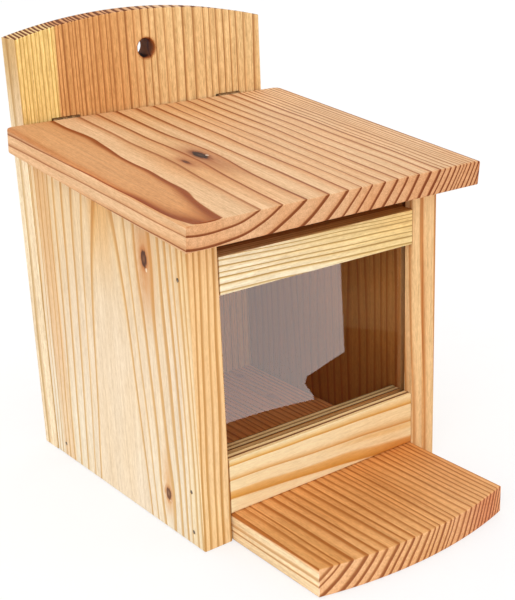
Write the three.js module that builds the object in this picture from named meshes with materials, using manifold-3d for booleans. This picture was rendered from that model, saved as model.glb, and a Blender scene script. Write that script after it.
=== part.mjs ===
import * as THREE from 'three';
import { mergeVertices } from 'three/addons/utils/BufferGeometryUtils.js';
import Module from 'manifold-3d';

// A wooden squirrel feeder box: a back board with an arched top, two side panels with sloping tops,
// a floor board that runs out in front as a landing platform, a clear window held between two rails,
// and a roof board on two small butt hinges. Millimetres, X to the right, Y to the back, Z up.

const wasm = await Module();
wasm.setup();

// Body sizes
const bodyWidth = 176;
const sidePanelThickness = 19;
const sidePanelDepth = 171;
const backBoardThickness = 18;
const backBoardShoulderHeight = 264;
const backBoardArchRise = 10.8;
const hangingHoleRadius = 6;
const hangingHoleMouthRadius = 6.8;
const hangingHoleMouthDepth = 1;
const hangingHoleBelowArch = 24;

// Floor board and landing platform
const floorThickness = 17;
const platformReach = 76.5;
const platformBow = 9.5;
const floorSideGap = 0.7;

// Rails and window
const railThickness = 19;
const lowerRailHeight = 33;
const windowHeight = 96;
const upperRailHeight = 21.3;
const paneThickness = 3;
const paneSetback = 7;
const grooveDepth = 5;
const paneTopRoom = 1;

// Roof
const roofWidth = 202;
const roofLength = 193;
const roofThickness = 14.5;
const roofSlope = THREE.MathUtils.degToRad(6);
const roofCornerRadius = 5;
const roofTopAbovePin = 0.45;
const roofEdgeToPin = 0.6;

// Hinges
const hingePinHeight = 214.45;
const hingePinToBackBoard = 0.6;
const hingeSpacing = 120;
const hingeLength = 18;
const middleKnuckleLength = 6;
const knuckleGap = 0.3;
const knuckleRadius = 1.25;
const pinRadius = 0.45;
const leafThickness = 0.8;
const leafReach = 12.5;
const leafGap = 0.3;
const knuckleRoom = 0.3;
const hingeScrewSpacing = 10;

// Fasteners
const nail = { headRadius: 1, headHeight: 0.9, shankRadius: 0.7, length: 38, point: 2.5 };
const woodScrew = { headRadius: 4, headHeight: 2.4, shankRadius: 2, length: 42, point: 4 };
const hingeScrew = { headRadius: 1.8, headHeight: 0.8, shankRadius: 1, length: 11, point: 2 };
const nailInset = 10;
const rearNailInset = 12;
const fastenerSink = 0.1;
const recessReachShare = 0.6;
const recessWidthShare = 0.22;
const recessDepthShare = 0.75;
const backScrewHeightShares = [0.15, 0.5, 0.85];
const floorScrewSpacingShare = 0.5;

// Clearances, eased edges and steps on curves
const jointGap = 0.2;
const seatGap = 0.3;
const holeClearance = 0.3;
const overrun = 3;
const edgeEase = 0.8;
const easeSteps = 2;
const arcSteps = 20;
const roundSteps = 14;

// Places worked out from the sizes
const halfBody = bodyWidth / 2;
const innerHalfWidth = halfBody - sidePanelThickness;
const backBoardFront = sidePanelDepth + jointGap;
const bodyDepth = backBoardFront + backBoardThickness;
const floorHalfWidth = innerHalfWidth - floorSideGap;
const railHalfWidth = innerHalfWidth - jointGap;
const lowerRailBottom = floorThickness + jointGap;
const lowerRailTop = lowerRailBottom + lowerRailHeight;
const upperRailBottom = lowerRailTop + windowHeight;
const upperRailTop = upperRailBottom + upperRailHeight;
const archTop = backBoardShoulderHeight + backBoardArchRise;
const hangingHoleHeight = archTop - hangingHoleBelowArch;
const pinY = backBoardFront - hingePinToBackBoard;
const leafInner = leafGap / 2;
const leafOuter = leafInner + leafThickness;
const depthCentre = (bodyDepth - platformReach - platformBow) / 2;
const hingeCentres = { left: -hingeSpacing / 2, right: hingeSpacing / 2 };

const unitX = new THREE.Vector3(1, 0, 0);
const unitY = new THREE.Vector3(0, 1, 0);
const unitZ = new THREE.Vector3(0, 0, 1);

// Height of the roof's underside above the base, at a place along Y
function roofUndersideAt(y) {
  const belowPin = (roofTopAbovePin - roofThickness) / Math.cos(roofSlope);
  return hingePinHeight + (y - pinY) * Math.tan(roofSlope) + belowPin;
}

// Materials
function wood(name, color) {
  return new THREE.MeshStandardMaterial({ name, color, roughness: 0.62, metalness: 0 });
}

const backWood = wood('back_wood', 0xe0a765);
const sideWood = wood('side_wood', 0xf0cf9c);
const floorWood = wood('floor_wood', 0xcf8a4c);
const railWood = wood('rail_wood', 0xf0cd7e);
const roofWood = wood('roof_wood', 0xd99a5e);
const hingeSteel = new THREE.MeshStandardMaterial({
  name: 'hinge_steel', color: 0x4a3b2c, roughness: 0.45, metalness: 0.9,
});
const nailSteel = new THREE.MeshStandardMaterial({
  name: 'nail_steel', color: 0x7d7468, roughness: 0.5, metalness: 0.9,
});
const clearPlastic = new THREE.MeshStandardMaterial({
  name: 'clear_plastic', color: 0xf2f4f4, roughness: 0.05, metalness: 0, transparent: true, opacity: 0.3,
});

// Solids from closed geometries, for joins and cuts
function toSolid(geometry) {
  const bare = geometry.clone();
  bare.deleteAttribute('normal');
  bare.deleteAttribute('uv');
  const welded = mergeVertices(bare);
  return new wasm.Manifold(new wasm.Mesh({
    numProp: 3,
    vertProperties: new Float32Array(welded.attributes.position.array),
    triVerts: new Uint32Array(welded.index.array),
  }));
}

function toGeometry(solid) {
  const mesh = solid.getMesh();
  const geometry = new THREE.BufferGeometry();
  geometry.setAttribute('position', new THREE.BufferAttribute(mesh.vertProperties, 3));
  geometry.setIndex(new THREE.BufferAttribute(mesh.triVerts, 1));
  geometry.computeVertexNormals();
  return geometry;
}

// A box between two corners
function block(low, high) {
  const size = high.clone().sub(low);
  const centre = high.clone().add(low).multiplyScalar(0.5);
  return new THREE.BoxGeometry(size.x, size.y, size.z).translate(centre.x, centre.y, centre.z);
}

function cutBlock(solid, low, high) {
  return solid.subtract(toSolid(block(low, high)));
}

// Ways to turn an outline: drawn in Y and Z for a side panel, or in X and Z for a front board
const facingSide = new THREE.Matrix4().makeBasis(unitY, unitZ, unitX);
const facingFront = new THREE.Matrix4().makeBasis(unitX, unitZ, unitY.clone().negate());

// A plank with eased edges, from its outline and thickness
function plank(outline, thickness) {
  const geometry = new THREE.ExtrudeGeometry(outline, {
    depth: thickness - edgeEase * 2,
    bevelThickness: edgeEase,
    bevelSize: edgeEase,
    bevelOffset: -edgeEase,
    bevelSegments: easeSteps,
    curveSegments: arcSteps,
  });
  return geometry.translate(0, 0, edgeEase);
}

// A front-facing plank: its front face lies at frontY
function frontPlank(outline, thickness, frontY) {
  return plank(outline, thickness).applyMatrix4(facingFront).translate(0, frontY + thickness, 0);
}

// Adds an arc that bows outwards by rise over a chord, upwards or downwards
function bow(outline, halfChord, chordLevel, rise, direction) {
  const radius = (halfChord ** 2 + rise ** 2) / (rise * 2);
  const centreLevel = chordLevel + direction * (rise - radius);
  const halfAngle = Math.asin(halfChord / radius);
  const middle = direction * Math.PI / 2;
  outline.absarc(0, centreLevel, radius, middle - halfAngle, middle + halfAngle, false);
}

function rectangle(left, right, bottom, top) {
  const outline = new THREE.Shape();
  outline.moveTo(left, bottom);
  outline.lineTo(right, bottom);
  outline.lineTo(right, top);
  outline.lineTo(left, top);
  return outline;
}

// Fasteners: each runs from its head along a direction, and its hole follows the same sizes
function spun(profile) {
  const points = profile.map(([radius, along]) => new THREE.Vector2(radius, along));
  return new THREE.LatheGeometry(points, roundSteps);
}

function nailShape(size) {
  return spun([
    [0, 0],
    [size.headRadius, 0],
    [size.headRadius, size.headHeight],
    [size.shankRadius, size.headHeight],
    [size.shankRadius, size.length - size.point],
    [0, size.length],
  ]);
}

function screwShape(size) {
  const body = toSolid(spun([
    [0, 0],
    [size.headRadius, 0],
    [size.shankRadius, size.headHeight],
    [size.shankRadius, size.length - size.point],
    [0, size.length],
  ]));
  const reach = size.headRadius * recessReachShare;
  const half = size.headRadius * recessWidthShare / 2;
  const depth = size.headHeight * recessDepthShare;
  const along = block(new THREE.Vector3(-reach, -overrun, -half), new THREE.Vector3(reach, depth, half));
  const across = block(new THREE.Vector3(-half, -overrun, -reach), new THREE.Vector3(half, depth, reach));
  const recess = toSolid(along).add(toSolid(across));
  return toGeometry(body.subtract(recess));
}

function holeShape(size, countersunk) {
  const headFoot = countersunk ? 0 : size.headHeight;
  return spun([
    [0, -overrun],
    [size.headRadius + holeClearance, -overrun],
    [size.headRadius + holeClearance, headFoot + holeClearance],
    [size.shankRadius + holeClearance, size.headHeight + holeClearance],
    [size.shankRadius + holeClearance, size.length + holeClearance],
    [0, size.length + holeClearance],
  ]);
}

function fastener(name, size, countersunk, start, direction) {
  const turn = new THREE.Quaternion().setFromUnitVectors(unitY, direction);
  const place = start.clone().addScaledVector(direction, fastenerSink);
  const matrix = new THREE.Matrix4().compose(place, turn, new THREE.Vector3(1, 1, 1));
  return {
    name,
    place,
    turn,
    shape: countersunk ? screwShape(size) : nailShape(size),
    hole: toSolid(holeShape(size, countersunk).applyMatrix4(matrix)),
  };
}

function drilled(solid, fasteners) {
  return fasteners.reduce((left, one) => left.subtract(one.hole), solid);
}

// Nails through each side panel into the rails and the floor board
const sideNails = [];
const sides = { left: -1, right: 1 };
for (const [side, sign] of Object.entries(sides)) {
  const places = {
    upper_rail: [nailInset, (upperRailBottom + upperRailTop) / 2],
    lower_rail: [nailInset, (lowerRailBottom + lowerRailTop) / 2],
    floor_front: [nailInset, floorThickness / 2],
    floor_rear: [sidePanelDepth - rearNailInset, floorThickness / 2],
  };
  for (const [seat, [y, z]] of Object.entries(places)) {
    const start = new THREE.Vector3(sign * halfBody, y, z);
    const inward = unitX.clone().multiplyScalar(-sign);
    sideNails.push(fastener(`${side}_nail_${seat}`, nail, false, start, inward));
  }
}

// Screws through the back board into the side panels and the floor board
const backScrews = [];
const forward = unitY.clone().negate();
const panelRearHeight = roofUndersideAt(sidePanelDepth) - seatGap;
for (const [side, sign] of Object.entries(sides)) {
  backScrewHeightShares.forEach((share, index) => {
    const x = sign * (halfBody - sidePanelThickness / 2);
    const start = new THREE.Vector3(x, bodyDepth, panelRearHeight * share);
    backScrews.push(fastener(`back_screw_${side}_${index + 1}`, woodScrew, true, start, forward));
  });
  const floorX = sign * floorHalfWidth * floorScrewSpacingShare;
  const floorStart = new THREE.Vector3(floorX, bodyDepth, floorThickness / 2);
  backScrews.push(fastener(`back_screw_floor_${side}`, woodScrew, true, floorStart, forward));
}

// Small screws that hold each hinge's two leaves, in the pin's upright frame
const leafScrewHeight = hingePinHeight - (knuckleRadius + leafReach) / 2;
const boardLeafScrews = [];
const lidLeafScrews = [];
for (const [side, centre] of Object.entries(hingeCentres)) {
  for (const [end, sign] of Object.entries(sides)) {
    const x = centre + sign * hingeScrewSpacing / 2;
    const boardStart = new THREE.Vector3(x, pinY + leafInner, leafScrewHeight);
    const boardName = `${side}_hinge_board_screw_${end}`;
    boardLeafScrews.push(fastener(boardName, hingeScrew, true, boardStart, unitY));
    const lidStart = new THREE.Vector3(x, pinY - leafInner, leafScrewHeight);
    const lidName = `${side}_hinge_lid_screw_${end}`;
    lidLeafScrews.push(fastener(lidName, hingeScrew, true, lidStart, forward));
  }
}
const allFasteners = [...sideNails, ...backScrews, ...boardLeafScrews, ...lidLeafScrews];

// Hinge parts
const onPinAxis = new THREE.Quaternion().setFromUnitVectors(unitY, unitX);

function roundBar(radius, startX, endX) {
  const bar = new THREE.CylinderGeometry(radius, radius, endX - startX, roundSteps * 2);
  return bar.applyQuaternion(onPinAxis).translate((startX + endX) / 2, pinY, hingePinHeight);
}

// Stretches of X taken by the two outer knuckles, and by the middle one
function knuckleSpans(centre, outer) {
  const half = hingeLength / 2;
  const inner = middleKnuckleLength / 2;
  if (outer) {
    return [[centre - half, centre - inner - knuckleGap], [centre + inner + knuckleGap, centre + half]];
  }
  return [[centre - inner, centre + inner]];
}

// One leaf: a plate that hangs below the pin, with its knuckles rolled round the pin
function hingeLeaf(centre, outer) {
  const sign = outer ? 1 : -1;
  const near = Math.min(sign * leafInner, sign * leafOuter);
  const far = Math.max(sign * leafInner, sign * leafOuter);
  const half = hingeLength / 2;
  const plateTop = hingePinHeight - knuckleRadius - knuckleRoom;
  let leaf = toSolid(block(
    new THREE.Vector3(centre - half, pinY + near, hingePinHeight - leafReach),
    new THREE.Vector3(centre + half, pinY + far, plateTop),
  ));
  for (const [startX, endX] of knuckleSpans(centre, outer)) {
    const rollTop = hingePinHeight - (knuckleRadius + pinRadius + holeClearance) / 2;
    leaf = leaf.add(toSolid(block(
      new THREE.Vector3(startX, pinY + near, plateTop - leafThickness),
      new THREE.Vector3(endX, pinY + far, rollTop),
    )));
    leaf = leaf.add(toSolid(roundBar(knuckleRadius, startX, endX)));
    const bore = roundBar(pinRadius + holeClearance, startX - overrun, endX + overrun);
    leaf = leaf.subtract(toSolid(bore));
  }
  return leaf;
}

// Room that a board gives to a hinge: a trough for the knuckles and a shallow bed for the leaf
function cutHingeRoom(solid, centre, sign) {
  const half = hingeLength / 2 + holeClearance;
  const trough = roundBar(knuckleRadius + knuckleRoom, centre - half, centre + half);
  const bedSide = sign * (leafOuter + seatGap);
  const low = new THREE.Vector3(centre - half, pinY + Math.min(0, bedSide), hingePinHeight - leafReach - seatGap);
  const high = new THREE.Vector3(centre + half, pinY + Math.max(0, bedSide), hingePinHeight);
  return cutBlock(solid.subtract(toSolid(trough)), low, high);
}

// The feeder
const feeder = new THREE.Group();
feeder.position.y = -depthCentre;

function addPiece(name, geometry, material) {
  const mesh = new THREE.Mesh(geometry, material);
  mesh.name = name;
  feeder.add(mesh);
  return mesh;
}

// Back board with its arched top and hanging hole
function backBoard() {
  const outline = new THREE.Shape();
  outline.moveTo(-halfBody, 0);
  outline.lineTo(halfBody, 0);
  outline.lineTo(halfBody, backBoardShoulderHeight);
  bow(outline, halfBody, backBoardShoulderHeight, backBoardArchRise, 1);
  const hole = new THREE.Path();
  hole.absarc(0, hangingHoleHeight, hangingHoleRadius, 0, Math.PI * 2, false);
  outline.holes.push(hole);
  let solid = toSolid(frontPlank(outline, backBoardThickness, backBoardFront));
  const mouthStep = hangingHoleMouthRadius - hangingHoleRadius;
  const mouth = spun([
    [0, -overrun],
    [hangingHoleMouthRadius, -overrun],
    [hangingHoleMouthRadius, 0],
    [hangingHoleRadius - mouthStep, hangingHoleMouthDepth * 2],
    [0, hangingHoleMouthDepth * 2],
  ]);
  solid = solid.subtract(toSolid(mouth.translate(0, backBoardFront, hangingHoleHeight)));
  for (const centre of Object.values(hingeCentres)) {
    solid = cutHingeRoom(solid, centre, 1);
  }
  return drilled(solid, [...backScrews, ...boardLeafScrews]);
}

// Side panel: its top follows the roof's slope, and a groove for the window runs down its inner face
function sidePanel(sign) {
  const outline = new THREE.Shape();
  outline.moveTo(0, 0);
  outline.lineTo(sidePanelDepth, 0);
  outline.lineTo(sidePanelDepth, panelRearHeight);
  outline.lineTo(0, roofUndersideAt(0) - seatGap);
  const outerX = sign * halfBody;
  const innerX = sign * innerHalfWidth;
  const geometry = plank(outline, sidePanelThickness).applyMatrix4(facingSide);
  const solid = toSolid(geometry.translate(Math.min(outerX, innerX), 0, 0));
  const floorOfGroove = sign * (innerHalfWidth + grooveDepth);
  const mouth = sign * (innerHalfWidth - overrun);
  const grooved = cutBlock(
    solid,
    new THREE.Vector3(Math.min(floorOfGroove, mouth), paneSetback - seatGap, lowerRailTop - grooveDepth),
    new THREE.Vector3(Math.max(floorOfGroove, mouth), paneSetback + paneThickness + seatGap, archTop),
  );
  return drilled(grooved, [...sideNails, ...backScrews]);
}

// Floor board: it runs out between the side panels as the landing platform, with a bowed front edge
function floorBoard() {
  const outline = new THREE.Shape();
  outline.moveTo(-floorHalfWidth, -platformReach);
  bow(outline, floorHalfWidth, -platformReach, platformBow, -1);
  outline.lineTo(floorHalfWidth, sidePanelDepth);
  outline.lineTo(-floorHalfWidth, sidePanelDepth);
  return drilled(toSolid(plank(outline, floorThickness)), [...sideNails, ...backScrews]);
}

// Rail between the side panels, with a groove for the window along one edge
function rail(bottom, top, grooveLow, grooveHigh) {
  const outline = rectangle(-railHalfWidth, railHalfWidth, bottom, top);
  const solid = toSolid(frontPlank(outline, railThickness, 0));
  const grooved = cutBlock(
    solid,
    new THREE.Vector3(-halfBody, paneSetback - seatGap, grooveLow),
    new THREE.Vector3(halfBody, paneSetback + paneThickness + seatGap, grooveHigh),
  );
  return drilled(grooved, sideNails);
}

// Clear pane, let into the grooves of both rails and both side panels
function windowPane() {
  const halfWidth = innerHalfWidth + grooveDepth - seatGap;
  const bottom = lowerRailTop - grooveDepth + seatGap;
  const top = upperRailBottom + grooveDepth - paneTopRoom;
  return block(
    new THREE.Vector3(-halfWidth, paneSetback, bottom),
    new THREE.Vector3(halfWidth, paneSetback + paneThickness, top),
  );
}

// Roof board: flat, turned to its slope about the pin, with its rear edge cut upright
function roofBoard() {
  const half = roofWidth / 2;
  const rear = -roofEdgeToPin;
  const outline = new THREE.Shape();
  outline.moveTo(-half, rear - roofLength);
  outline.lineTo(half, rear - roofLength);
  outline.lineTo(half, rear - roofCornerRadius);
  outline.absarc(half - roofCornerRadius, rear - roofCornerRadius, roofCornerRadius, 0, Math.PI / 2, false);
  outline.lineTo(roofCornerRadius - half, rear);
  outline.absarc(
    roofCornerRadius - half, rear - roofCornerRadius, roofCornerRadius, Math.PI / 2, Math.PI, false,
  );
  const geometry = plank(outline, roofThickness).translate(0, 0, roofTopAbovePin - roofThickness);
  let solid = toSolid(geometry.rotateX(roofSlope).translate(0, pinY, hingePinHeight));
  solid = cutBlock(
    solid,
    new THREE.Vector3(-roofWidth, pinY - roofEdgeToPin, hingePinHeight - roofThickness * 2),
    new THREE.Vector3(roofWidth, bodyDepth, hingePinHeight + roofThickness),
  );
  for (const centre of Object.values(hingeCentres)) {
    solid = cutHingeRoom(solid, centre, -1);
  }
  return drilled(solid, lidLeafScrews);
}

addPiece('back_board', toGeometry(backBoard()), backWood);
addPiece('left_side_panel', toGeometry(sidePanel(-1)), sideWood);
addPiece('right_side_panel', toGeometry(sidePanel(1)), sideWood);
addPiece('floor_board', toGeometry(floorBoard()), floorWood);
const lowerRail = rail(lowerRailBottom, lowerRailTop, lowerRailTop - grooveDepth, lowerRailTop + overrun);
addPiece('lower_rail', toGeometry(lowerRail), railWood);
const upperRail = rail(upperRailBottom, upperRailTop, upperRailBottom - overrun, upperRailBottom + grooveDepth);
addPiece('upper_rail', toGeometry(upperRail), railWood);
addPiece('window_pane', windowPane(), clearPlastic);
addPiece('roof_board', toGeometry(roofBoard()), roofWood);

for (const [side, centre] of Object.entries(hingeCentres)) {
  const boardLeaf = drilled(hingeLeaf(centre, true), boardLeafScrews);
  addPiece(`${side}_hinge_board_leaf`, toGeometry(boardLeaf), hingeSteel);
  const lidLeaf = drilled(hingeLeaf(centre, false), lidLeafScrews);
  addPiece(`${side}_hinge_lid_leaf`, toGeometry(lidLeaf), hingeSteel);
  const pin = roundBar(pinRadius, centre - hingeLength / 2, centre + hingeLength / 2);
  addPiece(`${side}_hinge_pin`, pin, hingeSteel);
}

for (const one of allFasteners) {
  const isNail = sideNails.includes(one);
  const mesh = addPiece(one.name, one.shape, isNail ? nailSteel : hingeSteel);
  mesh.position.copy(one.place);
  mesh.quaternion.copy(one.turn);
}

export default feeder;
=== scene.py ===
# %% [markdown]
# # A squirrel feeder box in bare softwood
# The box is seven planed boards, a clear pane and a few small steel fittings. Its shapes come ready made
# from the imported model, so this lesson is about finishes: every board gets a wood of its own, worked out
# from the log that it was sawn from, and then the steel, the pane, the light and the camera follow. First
# the model is loaded.

# %% Load the model
import bpy
import math
from mathutils import Matrix, Vector

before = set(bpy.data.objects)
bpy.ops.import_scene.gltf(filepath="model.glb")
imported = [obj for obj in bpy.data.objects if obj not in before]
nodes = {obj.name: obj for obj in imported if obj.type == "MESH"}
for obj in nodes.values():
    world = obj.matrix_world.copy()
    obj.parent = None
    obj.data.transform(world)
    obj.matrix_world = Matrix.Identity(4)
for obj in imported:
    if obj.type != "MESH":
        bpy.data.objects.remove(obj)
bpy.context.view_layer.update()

# %% [markdown]
# ## The camera
# The photograph looks at the box from the front left and a little above. A camera can be placed by eye, but
# its lines then never all agree. Here the place, the aim and the lens were fitted to the corners of the
# boards. The picture was cut out of a larger one, so the lens axis isn't at its middle: the shift says how
# far off.

# %% Camera
PICTURE_HEIGHT = 600
PICTURE_WIDTH = 515
SENSOR_MM = 36
focal_px = 1196.3
axis_px = (330.0, 330.2)
camera_place = Vector((-0.3977, -0.5440, 0.3510))
camera_aim = Vector((0.59120, 0.72347, -0.35646)).normalized()
camera_up = Vector((0.23962, 0.26446, 0.93415)).normalized()
camera_right = camera_aim.cross(camera_up).normalized()

lens = bpy.data.cameras.new("camera")
lens.sensor_width = SENSOR_MM
lens.lens = focal_px / PICTURE_HEIGHT * SENSOR_MM
lens.shift_x = (PICTURE_WIDTH / 2 - axis_px[0]) / PICTURE_HEIGHT
lens.shift_y = (axis_px[1] - PICTURE_HEIGHT / 2) / PICTURE_HEIGHT
lens.clip_start = 0.01
camera = bpy.data.objects.new("camera", lens)
turn = Matrix((camera_right, camera_up, -camera_aim)).transposed().to_4x4()
camera.matrix_world = Matrix.Translation(camera_place) @ turn
bpy.context.scene.collection.objects.link(camera)
bpy.context.scene.camera = camera
print("lens", round(lens.lens, 1), "mm, shift", round(lens.shift_x, 3), round(lens.shift_y, 3))

# %% [markdown]
# ## Nodes written as sums
# Wood is mostly arithmetic on a place inside the board. Written node by node it is long and hard to read,
# so one small class wraps a socket, and adding or multiplying two of them adds the Math node. A second
# class is the material itself: its one method takes a node's type, its settings, and what its sockets are
# fed with.

# %% Sockets as numbers
class Wire:
    """The output of a node, mostly one number that varies over a surface, ready for sums."""

    def __init__(self, finish, socket):
        self.finish = finish
        self.socket = socket

    def calculate(self, operation, left, right=0.0):
        return self.finish.add("ShaderNodeMath", {"operation": operation}, {0: left, 1: right})

    def __add__(self, other):
        return self.calculate("ADD", self, other)

    def __radd__(self, other):
        return self.calculate("ADD", other, self)

    def __sub__(self, other):
        return self.calculate("SUBTRACT", self, other)

    def __rsub__(self, other):
        return self.calculate("SUBTRACT", other, self)

    def __mul__(self, other):
        return self.calculate("MULTIPLY", self, other)

    def __truediv__(self, other):
        return self.calculate("DIVIDE", self, other)

    def __pow__(self, other):
        return self.calculate("POWER", self, other)


print("operators that add a node: + - * / **")

# %% Materials
class Finish:
    """A material that is being made, and the method that adds a node to it."""

    def __init__(self, name):
        self.material = bpy.data.materials.new(name)
        self.material.use_nodes = True
        self.tree = self.material.node_tree
        self.tree.nodes.clear()

    def add(self, kind, settings=None, sockets=None, out=0):
        node = self.tree.nodes.new(kind)
        for name, value in (settings or {}).items():
            if name == "points":
                set_points(node.mapping, value)
            else:
                setattr(node, name, value)
        for key, value in (sockets or {}).items():
            if isinstance(value, Wire):
                self.tree.links.new(value.socket, node.inputs[key])
            else:
                node.inputs[key].default_value = value
        return Wire(self, node.outputs[out])

    def surface(self, shader):
        end = self.tree.nodes.new("ShaderNodeOutputMaterial")
        self.tree.links.new(shader.socket, end.inputs["Surface"])
        return self.material


def set_points(mapping, points):
    """Lays a curve through the points with straight stretches between them."""
    curve = mapping.curves[0]
    while len(curve.points) < len(points):
        curve.points.new(0.5, 0.5)
    for point, place in zip(curve.points, points):
        point.location = place
        point.handle_type = "VECTOR"
    mapping.extend = "EXTRAPOLATED"
    mapping.update()


def paint(red, green, blue):
    """A colour named as it looks on a screen, 0 to 255, turned into the light that it sends back."""
    def light(value):
        part = value / 255
        return part / 12.92 if part <= 0.04045 else ((part + 0.055) / 1.055) ** 2.4
    return (light(red), light(green), light(blue), 1.0)


def dress(material, *names):
    """Gives the named pieces this material, in place of the plain ones that they came with."""
    for name in names:
        slots = nodes[name].material_slots
        if not slots:
            nodes[name].data.materials.append(material)
        for slot in slots:
            slot.material = material
    print(material.name, "on", len(names), "pieces" if len(names) > 1 else "piece")


print("a pale wood sends back", [round(c, 2) for c in paint(243, 219, 186)])

# %% [markdown]
# ## Where a point lies in its board
# A board knows three directions: along the grain, across its face, and down through its thickness. Flat
# textures would have to be laid on each face, and the lines would break at the edges. A solid wood, worked
# out from the place alone, turns the corner by itself: a line on the top face carries on down the end, as
# it does on a real board. Places are in millimetres, measured on the closed box, and they stay with the lid
# when it opens. The measures of the box that the woods need are read from the pieces themselves. Only the
# height of the seam under the lid and the depth of the pane's grooves are given.

# %% Measures of the box
def piece_box(name):
    """The lowest and the highest corner of a piece on the closed box, in millimetres."""
    corners = nodes[name].bound_box
    return [[round(1000 * pick(corner[axis] for corner in corners), 3) for axis in range(3)]
            for pick in (min, max)]


side_low, side_high = piece_box("right_side_panel")
pane_low, pane_high = piece_box("window_pane")
FRONT_EDGE = -side_low[1]
INNER_HALF = side_low[0]
OUTER_HALF = side_high[0]
ROOF_HALF = piece_box("roof_board")[1][0]
PANE_FRONT = pane_low[1] + FRONT_EDGE
PANE_BACK = pane_high[1] + FRONT_EDGE
BACK_FACE = piece_box("back_board")[0][1] + FRONT_EDGE
FLOOR_TOP = piece_box("floor_board")[1][2]
LID_SEAM = 214.0
GROOVE_DEPTH = 5.0
print("front edges of the side boards at y =", -FRONT_EDGE, "mm, inner width", 2 * INNER_HALF, "mm")

# %% Places in a board
def dot(vector, direction):
    """How far a vector reaches along a direction."""
    return vector.finish.add("ShaderNodeVectorMath", {"operation": "DOT_PRODUCT"}, {0: vector, 1: direction},
                             out="Value")


def board_place(finish, across, depth, along, corner=(0, 0, 0)):
    """Three numbers in millimetres. Y is counted from the side boards' front edges."""
    point = finish.add("ShaderNodeTexCoord", out="Object")

    def measure(direction):
        scaled = tuple(1000 * part for part in direction)
        start = sum(part * place for part, place in zip(direction, corner))
        return dot(point, scaled) + (direction[1] * FRONT_EDGE - start)

    return measure(across), measure(depth), measure(along)


def place_vector(across, depth, along):
    return across.finish.add("ShaderNodeCombineXYZ", sockets={0: across, 1: depth, 2: along})


def noise(place, scale=1.0, detail=2.0, rough=0.5, shift=0.0):
    """Soft noise from 0 to 1, with 0.5 as its middle. scale: how many lumps fit in one unit of the place."""
    add = place.finish.add
    if shift:
        place = add("ShaderNodeVectorMath", {"operation": "ADD"}, {0: place, 1: (shift, shift, shift)})
    return add("ShaderNodeTexNoise", sockets={"Vector": place, "Scale": scale, "Detail": detail,
                                              "Roughness": rough})


def drift(place, stretch, scale):
    """A slow wander from -0.5 to 0.5, drawn out along the grain: no log is quite straight."""
    across, depth, along = place
    return noise(place_vector(across, depth, along * stretch), scale, 1.0, 0.4) - 0.5


print("a lump of a noise with scale 0.04 is", 1 / 0.04, "mm long")

# %% [markdown]
# ## Masks
# Most of what follows says where something is: on the front edge, inside the box, around a hole. A mask is
# a number that is 1 there and 0 elsewhere, with a soft passage between. Masks are multiplied to say "and".

# %% Masks
def smooth(value, low, high, start=0.0, end=1.0):
    """start below low, end above high, and a soft passage between them."""
    return value.finish.add("ShaderNodeMapRange", {"interpolation_type": "SMOOTHSTEP", "clamp": True}, {
        "Value": value, "From Min": low, "From Max": high, "To Min": start, "To Max": end})


def band(value, low, high, soft):
    """1 between low and high, 0 outside, with soft edges."""
    return smooth(value, low - soft, low + soft) * smooth(value, high - soft, high + soft, 1.0, 0.0)


def absolute(value):
    return value.finish.add("ShaderNodeMath", {"operation": "ABSOLUTE"}, {0: value})


def fade(value, near, far):
    """1 closer to zero than near, 0 beyond far."""
    return smooth(absolute(value), near, far, 1.0, 0.0)


def square(value):
    return value * value


def radius(beside, beyond):
    return beside.finish.add("ShaderNodeMath", {"operation": "SQRT"}, {0: square(beside) + square(beyond)})


def inside_box(x, y, z):
    """1 on the faces that look into the closed box, and 0 on the outside and on the edges of the boards."""
    between_sides = smooth(absolute(x), INNER_HALF + 0.1, INNER_HALF + 0.4, 1.0, 0.0)
    behind_pane = smooth(y, PANE_BACK - 1, PANE_BACK)
    before_back = smooth(y, BACK_FACE + 0.1, BACK_FACE + 0.6, 1.0, 0.0)
    under_lid = smooth(z, LID_SEAM - 2, LID_SEAM, 1.0, 0.0)
    return between_sides * behind_pane * before_back * under_lid


def beside_pane(y):
    """1 as far from the front as the pane and the grooves that hold it, with a little to spare."""
    return band(y, PANE_FRONT - 0.5, PANE_BACK + 0.5, 0.1)


def in_pane_groove(y, off_middle):
    """1 in the groove that a side board has for the pane."""
    return beside_pane(y) * band(off_middle, INNER_HALF + 0.2, INNER_HALF + GROOVE_DEPTH + 0.4, 0.1)


# Painted shade in the pane's grooves: they are recesses, so the wood in them is painted darker.
GROOVE_SHADE = (0.5, 0.32, 0.2)
print("the pane lies", round(PANE_FRONT, 1), "to", round(PANE_BACK, 1), "mm behind the front edges")

# %% [markdown]
# ## Rings and knots
# A tree lays down one ring a year: pale wood in spring, then darker and harder wood, and a sharp stop at
# winter. So a ring is a ramp that starts again. The distance from the log's heart, the pith, is turned into
# a count of rings by a curve, because no two years are as wide, and the part after the decimal point is the
# season. A knot is a branch that the rings had to flow around: near it, the places are squeezed towards its
# middle.

# %% Ring count and knots
def past_knots(across, along, knots):
    """The place across the board as the rings see it, pushed aside by each knot."""
    seen = across
    for knot in knots:
        beside = (across - knot["across"]) / knot["reach"][0]
        beyond = (along - knot["along"]) / knot["reach"][1]
        near = across.finish.add("ShaderNodeMath", {"operation": "EXPONENT"},
                                 {0: 0.0 - (square(beside) + square(beyond))})
        seen = seen - (across - knot["across"]) * near * knot["push"]
    return seen


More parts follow.
